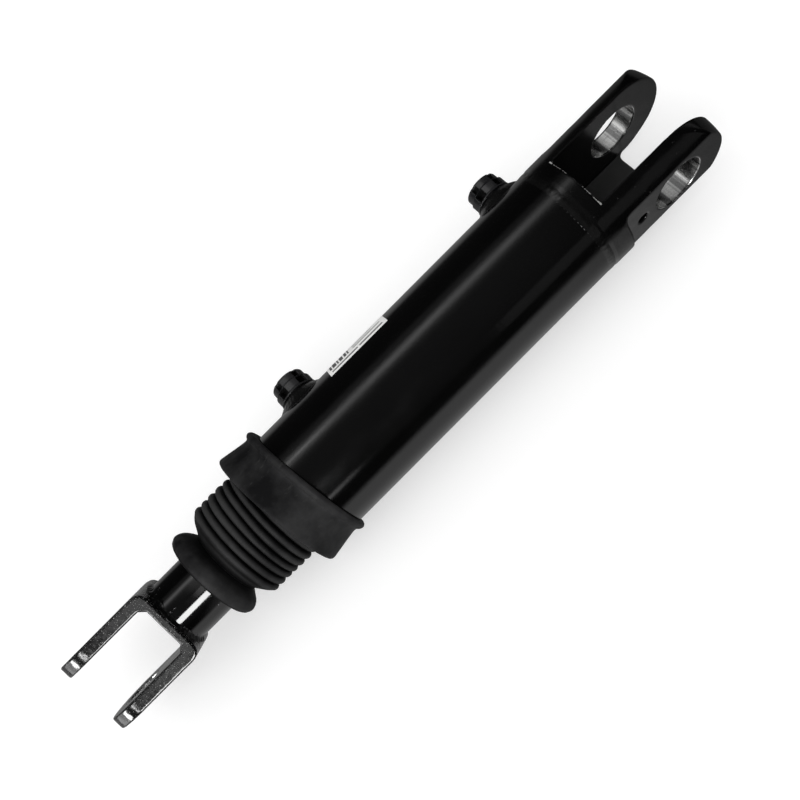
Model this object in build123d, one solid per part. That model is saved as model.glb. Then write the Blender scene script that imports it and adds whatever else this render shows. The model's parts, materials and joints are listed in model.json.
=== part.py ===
from build123d import *
import math
import os

# Double-acting hydraulic cylinder with a clevis at each end and a rubber dust boot over the rod.
# Millimetres. +X runs from the base pin to the rod end, +Y is the base pin's axis, +Z completes the frame.
# The origin is the centre of the base pin bore. The rod is fully in.

# ---- driving dimensions ----
barrel_od = 90.0
barrel_id = 80.0
rod_d = 50.0
stroke = 130.0

# base clevis
base_bore_d = 42.0
base_bar_d = 91.0
base_shoulder_x = 67.0
base_tip_r = 44.4
base_slot_w = 46.5
base_across_flats = 76.8
base_flat_end = 49.6
base_flat_corner_r = 6.0
base_pocket_end = 55.5
base_pocket_corner_r = 3.0
base_web_end = -0.4
base_web_corner_r = 5.0
base_web_top = -36.5
keeper_x = 34.0
keeper_drill_d = 8.5
keeper_mouth_d = 10.0

# barrel and its welds
barrel_start = 71.0
barrel_end = 336.0
spigot_len = 8.0
weld_w = 5.0
weld_crown = 0.5

# ports and their plugs
port_x = {"base": 91.1, "rod": 288.7}
port_hole_d = 11.0
port_counterbore_y = 41.2
boss_od = 30.0
boss_bore_d = 16.8
boss_top = 50.4
boss_root_y = 40.0
port_weld_leg = 5.0
port_weld_toe = 0.3
port_weld_below_top = 1.2
plug_end_gap = 0.8
plug_flange_d = 30.4
plug_flange_t = 1.4
plug_band_d = 29.6
plug_band_top = 6.6
plug_cap_d = 27.0
plug_cap_top = 15.6
plug_cap_chamfer = 0.8
plug_notch_count = 5
plug_notch_size = (5.6, 4.4, 6.0)
plug_notch_mid_r = 13.6
plug_turn_deg = {"base": 29.0, "rod": 36.0}

# label
label_start = 208.0
label_len = 54.0
label_arc_deg = 39.0
label_mid_deg = 32.5
label_t = 0.3
label_glue_t = 0.02

# gland and the seals on the rod
gland_start = 299.0
gland_flange_len = 10.0
gland_flange_d = 93.6
gland_spanner_holes = 4
gland_spanner_hole_d = 6.0
gland_spanner_hole_depth = 6.0
gland_spanner_circle_r = 39.5
seal_seat_depth = 5.0
wiper_len = 8.0
wiper_seat_depth = 6.0
wiper_lip_proud = 0.6
rod_seal_start = 322.0
rod_seal_len = 8.0
buffer_start = 312.5
buffer_len = 5.0
guide_starts = (302.5, 331.2)
guide_len = 5.0
guide_t = 2.5
static_groove_x = 306.0
static_groove_len = 7.6
static_groove_depth = 3.2
gland_o_ring_mid = 1.9
backup_ring_from = 4.4
backup_ring_len = 2.4

# piston
nut_start = 80.0
nut_len = 20.0
nut_across_flats = 55.0
nut_corner_r = 32.5
nut_face_r = 27.0
piston_len = 36.0
piston_edge = 1.0
wear_len = 8.0
wear_t = 2.5
wear_from_end = 3.0
piston_seal_len = 7.5
piston_seal_depth = 5.0
piston_o_ring_mid = 28.25
piston_o_ring_section_d = 2.3
piston_o_groove_len = 3.5
piston_o_groove_depth = 2.4
spacer_d = 62.0
spacer_to_gland = 2.0
rod_thread_d = 36.0

# dust boot: it sits a little off the axis, towards -Y
boot_offset = 1.3
collar_mid = 340.0
collar_len = 32.0
collar_front_r = 51.2
collar_back_r = 49.3
collar_bead_r = 51.4
collar_tilt_deg = 5.4
ridge_count = 7
ridge_pitch = 6.55
ridge_last_x = 394.2
ridge_r = 40.3
ridge_root_r = 34.6
bellows_wall = 3.0
bellows_start = 351.6
boot_neck_x = 406.0
boot_neck_r = 27.2
cuff_bulge_x = 419.0
cuff_bulge_r = 37.4
cuff_front_x = 428.6
cuff_tip_t = 2.6
cuff_bore_edge = 0.8

# rod clevis
rod_clevis_back = 455.8
rod_clevis_web = 6.5
rod_clevis_corner_r = 8.0
rod_clevis_gap_chamfer = 4.2
rod_pin_x = 510.0
rod_bore_d = 30.0
rod_ear_t = 10.0
rod_ear_gap = 40.0
rod_ear_w = 57.0
rod_clevis_turn_deg = -24.1
rod_weld_leg = 3.0

# ---- clearances ----
running = 0.05
steel_gap = 0.3
static_gap = 0.05
collar_gap = 0.2
flange_gap = 0.5
rubber_gap = 0.1
boot_bore_gap = 0.6

# ---- worked out ----
barrel_r = barrel_od / 2
bore_r = barrel_id / 2
rod_r = rod_d / 2
thread_r = rod_thread_d / 2
piston_start = nut_start + nut_len
piston_end = piston_start + piston_len
spacer_end = gland_start - stroke - spacer_to_gland
wear_starts = (piston_start + wear_from_end, piston_end - wear_from_end - wear_len)
piston_seal_start = piston_start + (piston_len - piston_seal_len) / 2
gland_end = barrel_end + gland_flange_len
wiper_start = gland_end - wiper_len

os.makedirs("parts", exist_ok=True)


def along_x(start, end, r_out, r_in=0.0):
    """A rod or tube on the X axis."""
    shape = Pos(start, 0, 0) * Rot(0, 90, 0) * extrude(Circle(r_out), end - start)
    if r_in > 0:
        shape = shape - Pos(start - 1, 0, 0) * Rot(0, 90, 0) * extrude(Circle(r_in), end - start + 2)
    return shape


def turned(points):
    """A solid of revolution about X from a closed outline of (x, radius) points."""
    outline = Polyline(*[(x, r, 0) for x, r in points], close=True)
    return revolve(make_face(outline), Axis.X)


def ring(start, end, r_out, r_in, chamfer=0.6):
    """A square-section ring on the X axis with broken edges."""
    c = chamfer
    return turned([
        (start + c, r_in), (end - c, r_in), (end, r_in + c), (end, r_out - c),
        (end - c, r_out), (start + c, r_out), (start, r_out - c), (start, r_in + c),
    ])


def lip_ring(start, end, r_out, r_in):
    """A U-cup: a ring with a groove cut into its pressure side, at the start."""
    mid = (r_out + r_in) / 2
    depth = 0.55 * (end - start)
    return turned([
        (start, r_in), (end, r_in), (end, r_out), (start, r_out),
        (start, mid + 0.9), (start + depth, mid + 0.4), (start + depth, mid - 0.4), (start, mid - 0.9),
    ])


def o_ring(x, r_mid, section_r):
    """A round-section ring about X."""
    return revolve(Pos(x, r_mid, 0) * Circle(section_r), Axis.X)


def box_between(low, high):
    """A box from its lowest to its highest corner."""
    size = [h - l for l, h in zip(low, high)]
    mid = [(h + l) / 2 for l, h in zip(low, high)]
    return Pos(*mid) * Box(*size)


def across_y(x, z, radius, low, high):
    """A round bar along Y."""
    return Pos(x, low, z) * Rot(-90, 0, 0) * extrude(Circle(radius), high - low)


def clevis_turn():
    """The rod clevis and its pin stand at an angle to the base pin."""
    return Rot(rod_clevis_turn_deg, 0, 0)


def put(shape, node):
    """Write one node."""
    export_step(shape, f"parts/{node}.step")


# ---- base end ----
def base_clevis():
    far = 2 * base_tip_r
    bar_r = base_bar_d / 2
    body = along_x(-base_tip_r, base_shoulder_x, bar_r) + along_x(base_shoulder_x, barrel_start, barrel_r)
    tip = across_y(0, 0, base_tip_r, -bar_r, bar_r)
    tip = tip + box_between((0, -bar_r, -bar_r), (barrel_start, bar_r, bar_r))
    body = body & tip
    half_slot = base_slot_w / 2
    deep = box_between((-far, -half_slot, base_web_top), (base_pocket_end, half_slot, far))
    deep = fillet(deep.edges().filter_by(Axis.Z).group_by(Axis.X)[-1], base_pocket_corner_r)
    through = box_between((-far, -half_slot, -far), (base_web_end, half_slot, far))
    through = fillet(through.edges().filter_by(Axis.Z).group_by(Axis.X)[-1], base_web_corner_r)
    body = body - deep - through
    for side in (-1, 1):
        face_y = side * base_across_flats / 2
        wall_y = side * far
        flat = box_between((-far, min(face_y, wall_y), -far), (base_flat_end, max(face_y, wall_y), far))
        half = math.sqrt(bar_r ** 2 - (base_across_flats / 2) ** 2)
        keep = box_between((-far, -far, -half), (base_flat_end, far, half))
        flat = flat & fillet(keep.edges().filter_by(Axis.Y).group_by(Axis.X)[-1], base_flat_corner_r)
        body = body - flat
    body = body - across_y(0, 0, base_bore_d / 2, -far, far)
    keeper = across_y(keeper_x, 0, keeper_drill_d / 2, 0, far)
    mouth_depth = (keeper_mouth_d - keeper_drill_d) / 2
    mouth = Pos(keeper_x, base_across_flats / 2 - mouth_depth, 0) * Rot(-90, 0, 0) * extrude(
        Circle(keeper_drill_d / 2), mouth_depth, taper=-45)
    body = body - keeper - mouth
    return body + along_x(barrel_start, barrel_start + spigot_len, bore_r - static_gap)


def base_weld():
    half = weld_w / 2
    crown = ThreePointArc((barrel_start - half, barrel_r, 0), (barrel_start, barrel_r + weld_crown, 0),
                          (barrel_start + half, barrel_r, 0))
    chord = Line((barrel_start - half, barrel_r, 0), (barrel_start + half, barrel_r, 0))
    return revolve(make_face(crown + chord), Axis.X)


# ---- barrel ----
def barrel_tube():
    tube = along_x(barrel_start, barrel_end, barrel_r, bore_r)
    for x in port_x.values():
        tube = tube - across_y(x, 0, port_hole_d / 2, -barrel_od, 0)
        tube = tube - across_y(x, 0, boss_bore_d / 2, -barrel_od, -port_counterbore_y)
    return tube


def port_boss(x):
    boss = across_y(x, 0, boss_od / 2, -boss_top, -boss_root_y)
    bore = across_y(x, 0, boss_bore_d / 2, -barrel_od, 0)
    return boss - bore - along_x(x - boss_od, x + boss_od, barrel_r)


def port_weld(x):
    """A fillet round the boss's foot, shaped to the barrel."""
    foot_y = barrel_r - port_weld_leg
    top_y = boss_top - port_weld_below_top
    foot_r = boss_od / 2 + port_weld_leg
    toe_r = boss_od / 2 + port_weld_toe
    side = Polyline((0, -foot_y, 0), (foot_r, -foot_y, 0), (toe_r, -top_y, 0), (0, -top_y, 0), close=True)
    cone = Pos(x, 0, 0) * revolve(make_face(side), Axis.Y)
    core = across_y(x, 0, boss_od / 2, -barrel_od, 0)
    return cone - core - along_x(x - boss_od, x + boss_od, barrel_r)


def port_plug(end):
    """A plastic thread protector: shank, flange, notched band and cap."""
    x = port_x[end]

    def disc(diameter, low, high):
        """A round slice, from low to high above the boss."""
        return across_y(x, 0, diameter / 2, -boss_top - high, -boss_top - low)

    shank = disc(boss_bore_d - 2 * steel_gap, port_counterbore_y + plug_end_gap - boss_top, 0)
    cap = disc(plug_cap_d, plug_band_top, plug_cap_top)
    cap = chamfer(cap.edges().group_by(Axis.Y)[0], plug_cap_chamfer)
    band = disc(plug_band_d, plug_flange_t, plug_band_top)
    head = disc(plug_flange_d, 0, plug_flange_t) + band + cap
    notch_y = -boss_top - (plug_flange_t + plug_band_top) / 2
    for i in range(plug_notch_count):
        turn = Rot(0, plug_turn_deg[end] + 360 * i / plug_notch_count, 0)
        head = head - Pos(x, notch_y, 0) * turn * Pos(0, 0, plug_notch_mid_r) * Box(*plug_notch_size)
    return shank + head


def nameplate_label():
    inner = barrel_r + label_glue_t
    plate = along_x(label_start, label_start + label_len, inner + label_t, inner)
    # The wedge opens from the port side (-Y) towards +Z.
    low = math.radians(label_mid_deg - label_arc_deg / 2)
    high = math.radians(label_mid_deg + label_arc_deg / 2)
    reach = 2 * barrel_od
    corners = [(0, 0)] + [(-reach * math.cos(a), reach * math.sin(a)) for a in (low, high)]
    wedge = make_face(Polyline(*[(label_start - 1, y, z) for y, z in corners], close=True))
    return plate & extrude(wedge, label_len + 2, dir=(1, 0, 0))


# ---- gland and rod seals ----
def gland_head():
    head = along_x(gland_start, barrel_end, bore_r - static_gap)
    head = head + along_x(barrel_end, gland_end, gland_flange_d / 2)
    head = head - along_x(gland_start - 1, gland_end + 1, rod_r + steel_gap)
    head = head - along_x(rod_seal_start, rod_seal_start + rod_seal_len, rod_r + seal_seat_depth)
    head = head - along_x(buffer_start, buffer_start + buffer_len, rod_r + seal_seat_depth)
    head = head - along_x(wiper_start, gland_end + 1, rod_r + wiper_seat_depth)
    for start in guide_starts:
        head = head - along_x(start, start + guide_len, rod_r + guide_t)
    groove_r = bore_r - static_groove_depth
    head = head - along_x(static_groove_x, static_groove_x + static_groove_len, bore_r + 1, groove_r)
    drill = Rot(0, 90, 0) * extrude(Circle(gland_spanner_hole_d / 2), 2 * gland_spanner_hole_depth)
    drill = Pos(gland_end - gland_spanner_hole_depth, gland_spanner_circle_r, 0) * drill
    for i in range(gland_spanner_holes):
        head = head - Rot(45 + 360 * i / gland_spanner_holes, 0, 0) * drill
    return head


def gland_seals():
    mid = bore_r - static_groove_depth / 2
    put(o_ring(static_groove_x + gland_o_ring_mid, mid, static_groove_depth / 2 - static_gap), "gland_o_ring")
    backup_start = static_groove_x + backup_ring_from
    put(ring(backup_start, backup_start + backup_ring_len, bore_r - static_gap,
             bore_r - static_groove_depth + static_gap, 0.3), "gland_backup_ring")
    outer = rod_r + guide_t - static_gap
    guides = [ring(start + rubber_gap, start + guide_len - rubber_gap, outer, rod_r + running, 0.4)
              for start in guide_starts]
    put(Compound(children=guides), "rod_guide_rings")
    for node, start, length in (("rod_seal", rod_seal_start, rod_seal_len),
                                ("rod_buffer_seal", buffer_start, buffer_len)):
        seal = lip_ring(start + 2 * rubber_gap, start + length - 2 * rubber_gap,
                        rod_r + seal_seat_depth - static_gap, rod_r + running)
        put(seal, node)
    put(rod_wiper(), "rod_wiper")


def rod_wiper():
    """The lip that cleans the rod, a little proud of the gland."""
    back = wiper_start + rubber_gap
    lip_end = gland_end + wiper_lip_proud
    outer = rod_r + wiper_seat_depth - rubber_gap
    return turned([
        (back, rod_r + 1.2), (back + 2.4, rod_r + 0.6), (gland_end - 1.5, rod_r + 1.5),
        (lip_end, rod_r + running), (lip_end, rod_r + 1.4), (gland_end - 0.4, outer), (back, outer),
    ])


# ---- piston and rod ----
def piston():
    body = ring(piston_start, piston_end, bore_r - steel_gap, thread_r + static_gap, piston_edge)
    for start in wear_starts:
        body = body - along_x(start, start + wear_len, bore_r + 1, bore_r - wear_t)
    body = body - along_x(piston_seal_start, piston_seal_start + piston_seal_len, bore_r + 1,
                          bore_r - piston_seal_depth)
    groove_start = piston_start + piston_o_ring_mid - piston_o_groove_len / 2
    return body - along_x(groove_start, groove_start + piston_o_groove_len,
                          thread_r + piston_o_groove_depth, thread_r - 1)


def piston_rings():
    outer = bore_r - running
    seal_end = piston_seal_start + piston_seal_len
    seal_inner = bore_r - piston_seal_depth + static_gap
    put(ring(piston_seal_start + rubber_gap, seal_end - rubber_gap, outer, seal_inner, 0.7), "piston_seal")
    wear_inner = bore_r - wear_t + static_gap
    wear = [ring(start + rubber_gap, start + wear_len - rubber_gap, outer, wear_inner, 0.4)
            for start in wear_starts]
    put(Compound(children=wear), "piston_wear_rings")
    put(o_ring(piston_start + piston_o_ring_mid, thread_r + piston_o_groove_depth / 2,
               piston_o_ring_section_d / 2), "piston_o_ring")


def stop_spacer():
    return ring(piston_end, spacer_end, spacer_d / 2, thread_r + static_gap, piston_edge)


def piston_nut():
    hexagon = RegularPolygon(nut_across_flats / 2, 6, major_radius=False)
    nut = Pos(nut_start, 0, 0) * Rot(0, 90, 0) * extrude(hexagon, nut_len)
    bevel = 3.0
    nut = nut & turned([
        (nut_start, 0), (piston_start, 0), (piston_start, nut_face_r), (piston_start - bevel, nut_corner_r),
        (nut_start + bevel, nut_corner_r), (nut_start, nut_face_r),
    ])
    return nut - along_x(nut_start - 1, piston_start + 1, thread_r + static_gap)


def piston_rod():
    thread_start = nut_start - 0.5
    lead = 1.5
    edge = 1.0
    return turned([
        (thread_start, 0), (thread_start, thread_r - lead), (thread_start + lead, thread_r),
        (spacer_end, thread_r), (spacer_end, rod_r - edge), (spacer_end + edge, rod_r),
        (rod_clevis_back, rod_r), (rod_clevis_back, 0),
    ])


def rod_weld():
    start = rod_clevis_back - rod_weld_leg
    return turned([(start, rod_r), (rod_clevis_back, rod_r), (rod_clevis_back, rod_r + rod_weld_leg)])


def rod_clevis():
    half_gap = rod_ear_gap / 2
    outer = half_gap + rod_ear_t
    ear_end = rod_pin_x + rod_ear_w / 2
    web_inner = rod_clevis_back + rod_clevis_web
    block = box_between((rod_clevis_back, -outer, -rod_ear_w / 2), (ear_end, outer, rod_ear_w / 2))
    block = fillet(block.edges().filter_by(Axis.Z).group_by(Axis.X)[0], rod_clevis_corner_r)
    gap = box_between((web_inner, -half_gap, -rod_ear_w), (ear_end + 10, half_gap, rod_ear_w))
    gap = chamfer(gap.edges().filter_by(Axis.Z).group_by(Axis.X)[0], rod_clevis_gap_chamfer)
    block = block - gap
    round_end = across_y(rod_pin_x, 0, rod_ear_w / 2, -outer, outer)
    round_end = round_end + box_between((0, -outer, -rod_ear_w), (rod_pin_x, outer, rod_ear_w))
    block = block & round_end
    block = block - across_y(rod_pin_x, 0, rod_bore_d / 2, -outer - 5, outer + 5)
    return clevis_turn() * block


# ---- dust boot ----
def boot_centred(shape):
    """Moves a boot piece onto the boot's own centre line."""
    return Pos(0, -boot_offset, 0) * shape


def boot_collar():
    """It was pulled on slightly askew, so its -Y side sits nearer the rod end."""
    half = collar_len / 2
    bead = 2.0
    outer = turned([
        (-half - bead, 0), (-half - bead, collar_bead_r - 1), (-half - bead + 1, collar_bead_r),
        (-half + 3, collar_bead_r), (-half + 4.4, collar_bead_r - 1.4), (-half + 5, collar_back_r),
        (half - 2, collar_front_r), (half, collar_front_r - 2), (half, 0),
    ])
    low = collar_mid - collar_len
    high = collar_mid + collar_len
    collar = boot_centred(Pos(collar_mid, 0, 0) * Rot(0, 0, collar_tilt_deg) * outer)
    collar = collar - along_x(low, high, ridge_root_r - bellows_wall)
    collar = collar - along_x(low, barrel_end, barrel_r + collar_gap)
    flange_r = gland_flange_d / 2 + flange_gap
    collar = collar - along_x(barrel_end - steel_gap, gland_end + flange_gap, flange_r)
    return collar - boot_centred(along_x(bellows_start - rubber_gap, high, ridge_r + 4 * rubber_gap))


def boot_bellows():
    """Ridges with narrow grooves between, then a dome down to the neck."""
    inner_r = ridge_root_r - bellows_wall
    crest = ridge_pitch / 2 - 0.3
    first_x = ridge_last_x - (ridge_count - 1) * ridge_pitch
    start = (bellows_start, ridge_root_r, 0)
    at = start
    edges = []
    for i in range(ridge_count):
        x = first_x + i * ridge_pitch
        low = (x - crest, ridge_root_r, 0)
        up = (x - crest, ridge_r - crest, 0)
        down = (x + crest, ridge_r - crest, 0)
        edges += [Line(at, low), Line(low, up), ThreePointArc(up, (x, ridge_r, 0), down)]
        if i < ridge_count - 1:
            at = (x + crest, ridge_root_r, 0)
            edges.append(Line(down, at))
    end_x = boot_neck_x - 2 * rubber_gap
    neck = (end_x, boot_neck_r + boot_bore_gap, 0)
    dome_rise = 1.2
    dome = ((down[0] + neck[0]) / 2 + dome_rise, (down[1] + neck[1]) / 2 + dome_rise, 0)
    edges.append(ThreePointArc(down, dome, neck))
    under = (end_x, rod_r + boot_bore_gap, 0)
    back = (ridge_last_x - 2, inner_r, 0)
    base = (bellows_start, inner_r, 0)
    edges += [Line(neck, under), Line(under, back), Line(back, base), Line(base, start)]
    bellows = boot_centred(revolve(make_face(edges), Axis.X))
    return bellows - along_x(bellows_start, boot_neck_x + 1, rod_r + boot_bore_gap)


def boot_cuff():
    """The end that grips the rod: a short neck and a rounded bulge."""
    neck = (boot_neck_x, boot_neck_r, 0)
    back_mid = (cuff_bulge_x - 7.2, cuff_bulge_r - 2.6, 0)
    top = (cuff_bulge_x, cuff_bulge_r, 0)
    front_mid = (cuff_front_x - 2.6, cuff_bulge_r - 4.4, 0)
    tip = (cuff_front_x, rod_r + cuff_tip_t, 0)
    edges = [
        ThreePointArc(neck, back_mid, top), ThreePointArc(top, front_mid, tip),
        Line(tip, (cuff_front_x, 0, 0)), Line((cuff_front_x, 0, 0), (boot_neck_x, 0, 0)),
        Line((boot_neck_x, 0, 0), neck),
    ]
    bore = rod_r + running + 0.03
    mouth = bore + cuff_bore_edge
    hole = turned([
        (boot_neck_x - 1, 0), (boot_neck_x - 1, bore), (cuff_front_x - cuff_bore_edge, bore),
        (cuff_front_x, mouth), (cuff_front_x + 1, mouth), (cuff_front_x + 1, 0),
    ])
    return boot_centred(revolve(make_face(edges), Axis.X)) - hole


put(base_clevis(), "base_clevis")
put(base_weld(), "base_weld")
put(barrel_tube(), "barrel_tube")
for end, x in port_x.items():
    put(port_boss(x), f"{end}_port_boss")
    put(port_weld(x), f"{end}_port_weld")
    put(port_plug(end), f"{end}_port_plug")
put(nameplate_label(), "nameplate_label")
put(gland_head(), "gland_head")
gland_seals()
put(piston(), "piston")
piston_rings()
put(stop_spacer(), "stop_spacer")
put(piston_nut(), "piston_nut")
put(piston_rod(), "piston_rod")
put(rod_weld(), "rod_weld")
put(rod_clevis(), "rod_clevis")
put(boot_collar(), "boot_collar")
put(boot_bellows(), "boot_bellows")
put(boot_cuff(), "boot_cuff")
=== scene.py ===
import json
import math

import bmesh
import bpy
import numpy as np
from mathutils import Matrix, Vector


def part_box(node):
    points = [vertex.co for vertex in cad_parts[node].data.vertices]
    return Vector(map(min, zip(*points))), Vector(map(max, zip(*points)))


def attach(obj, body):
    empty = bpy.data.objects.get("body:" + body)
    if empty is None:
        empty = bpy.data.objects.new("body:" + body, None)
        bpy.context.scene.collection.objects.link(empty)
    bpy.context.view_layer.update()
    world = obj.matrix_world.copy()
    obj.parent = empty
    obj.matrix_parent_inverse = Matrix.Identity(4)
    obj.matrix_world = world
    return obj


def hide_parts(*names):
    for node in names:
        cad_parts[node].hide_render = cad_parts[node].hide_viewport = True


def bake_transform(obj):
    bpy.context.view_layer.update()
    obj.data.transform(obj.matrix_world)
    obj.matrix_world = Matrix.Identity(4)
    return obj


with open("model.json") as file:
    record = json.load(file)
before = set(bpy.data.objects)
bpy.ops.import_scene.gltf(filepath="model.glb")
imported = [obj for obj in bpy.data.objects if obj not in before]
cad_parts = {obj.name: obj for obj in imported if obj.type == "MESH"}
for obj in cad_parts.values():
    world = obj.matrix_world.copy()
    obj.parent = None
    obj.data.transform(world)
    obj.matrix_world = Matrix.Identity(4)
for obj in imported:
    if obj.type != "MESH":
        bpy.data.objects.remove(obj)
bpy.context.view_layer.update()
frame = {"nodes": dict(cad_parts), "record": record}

mm = 0.001

# ---- places and sizes read from the frame, in millimetres ----
def span(node):
    low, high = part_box(node)
    return [c / mm for c in low], [c / mm for c in high]


def half_width(node):
    low, high = span(node)
    return (high[0] - low[0]) / 2


mounts = {m["name"]: m for m in frame["record"]["mounts"]}
barrel_low, barrel_high = span("barrel_tube")
barrel_start, barrel_r = barrel_low[0], barrel_high[2]
rod_low, rod_high = span("piston_rod")
rod_start, rod_end, rod_r = rod_low[0], rod_high[0], rod_high[2]
spacer_end = span("stop_spacer")[1][0]

base_low, base_high = span("base_clevis")
base_tip_r, spigot_end, base_bar_r = -base_low[0], base_high[0], base_high[2]
base_bore_r = mounts["base_pin_bore"]["dims"]["r_mm"]
base_half_width = mounts["base_pin_bore"]["dims"]["length_mm"] / 2
keeper_x = mounts["keeper_bolt_hole"]["pos_m"][0] / mm
keeper_r = mounts["keeper_bolt_hole"]["dims"]["r_mm"]

fork_pin_x = mounts["rod_pin_bore"]["pos_m"][0] / mm
fork_tip_r = span("rod_clevis")[1][0] - fork_pin_x
fork_bore_r = mounts["rod_pin_bore"]["dims"]["r_mm"]
fork_half_width = mounts["rod_pin_bore"]["dims"]["length_mm"] / 2
fork_turn = math.atan2(mounts["rod_pin_bore"]["axis"][2], mounts["rod_pin_bore"]["axis"][1])

port_x = {end: mounts[f"{end}_port"]["pos_m"][0] / mm for end in ("base", "rod")}
boss_top = -mounts["base_port"]["pos_m"][1] / mm
boss_r = half_width("base_port_boss")
plug_flange_r = half_width("base_port_plug")
plug_top = -span("base_port_plug")[0][1] - boss_top
label_low, label_high = span("nameplate_label")

bellows_low, bellows_high = span("boot_bellows")
bellows_start, bellows_end, ridge_r = bellows_low[0], bellows_high[0], bellows_high[2]
cuff_low, cuff_high = span("boot_cuff")
cuff_start, cuff_end, bulge_r = cuff_low[0], cuff_high[0], cuff_high[2]
boot_offset = -(cuff_low[1] + cuff_high[1]) / 2
collar_low_z = span("boot_collar")[0][2]

# ---- the visual pieces' own sizes, in millimetres ----
thread_r = 18.0
spigot_r = 39.95
slot_half = 23.25
pocket_end = 55.5
web_end = -0.4
web_top = -36.5
flat_end = 49.6

boss_bore_r = 8.4
plug_shank_r = 8.1
plug_shank_len = boss_top - 42.0
plug_cap_r = 13.5
port_pitch = 1.34

fork_gap_half = 20.0
fork_gap_corner = 4.2
fork_web = 6.5

collar_mid = 340.0
collar_len = 32.0
collar_tilt_deg = 5.4
ridge_count = 7
ridge_pitch = 6.55
last_ridge_x = 394.2
groove_r = 34.4
cuff_crease_x = 421.2
cuff_front_x = 423.0
cuff_lean = math.radians(1.7)
cuff_bore_r = rod_r + 0.09


# ---- making meshes: every shape below is given in millimetres ----
def new_object(name, verts, faces):
    """An object from points in millimetres. Its faces are smooth and turned outwards."""
    mesh = bpy.data.meshes.new(name)
    mesh.from_pydata(np.asarray(verts) * mm, [], faces)
    bm = bmesh.new()
    bm.from_mesh(mesh)
    bmesh.ops.recalc_face_normals(bm, faces=bm.faces)
    for face in bm.faces:
        face.smooth = True
    bm.to_mesh(mesh)
    bm.free()
    obj = bpy.data.objects.new(name, mesh)
    bpy.context.scene.collection.objects.link(obj)
    return obj


def curve_through(points, steps=8):
    """A smooth line through given points (Catmull-Rom), without its last point."""
    points = np.asarray(points, float)
    ends = np.vstack([2 * points[0] - points[1], points, 2 * points[-1] - points[-2]])
    line = []
    for before, here, there, after in zip(ends, ends[1:], ends[2:], ends[3:]):
        for t in np.arange(steps) / steps:
            line.append(0.5 * (2 * here + (there - before) * t
                               + (2 * before - 5 * here + 4 * there - after) * t ** 2
                               + (3 * here - before - 3 * there + after) * t ** 3))
    return [tuple(p) for p in line]


def softened(corners, radius, steps=4):
    """The outline with each corner cut by a small curve. A corner's third number is its own radius."""
    line = []
    for i, corner in enumerate(corners):
        here = np.array(corner[:2], float)
        back = np.array(corners[i - 1][:2]) - here
        on = np.array(corners[(i + 1) % len(corners)][:2]) - here
        reach = corner[2] if len(corner) > 2 else radius
        start = here + back * min(reach / np.linalg.norm(back), 0.49)
        end = here + on * min(reach / np.linalg.norm(on), 0.49)
        for t in np.arange(steps + 1) / steps:
            line.append(tuple(start * (1 - t) ** 2 + here * 2 * t * (1 - t) + end * t ** 2))
    return line


def turned(name, outline, segments=256, move=None):
    """Turns a closed outline of (along, radius) points about X. move(along, radius, angle) may place them."""
    outline = np.asarray(outline, float)
    angle = np.linspace(0, 2 * math.pi, segments, endpoint=False)[:, None]
    along = np.broadcast_to(outline[:, 0], (segments, len(outline)))
    radius = np.broadcast_to(outline[:, 1], (segments, len(outline)))
    if move:
        x, y, z = move(along, radius, angle)
    else:
        x, y, z = along, radius * np.cos(angle), radius * np.sin(angle)
    verts = np.stack([x, y, z], axis=-1).reshape(-1, 3)
    return new_object(name, verts, wrapped_faces(segments, len(outline)))


def wrapped_faces(rows, columns):
    """Quads over a grid that closes on itself both ways."""
    i, j = np.meshgrid(np.arange(rows), np.arange(columns), indexing="ij")
    down, right = (i + 1) % rows, (j + 1) % columns
    quads = [i * columns + j, i * columns + right, down * columns + right, down * columns + j]
    return np.stack(quads, axis=-1).reshape(-1, 4).tolist()


def both(a, b, soft=1.2):
    """Inside a and inside b, with the edge between them rounded."""
    h = np.maximum(soft - np.abs(a - b), 0) / soft
    return np.maximum(a, b) + h * h * soft / 4


def either(a, b, soft=1.2):
    """Inside a or inside b, with the corner between them filled."""
    return -both(-a, -b, soft)


def without(a, b, soft=1.2):
    """Inside a and outside b."""
    return both(a, -b, soft)


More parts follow.
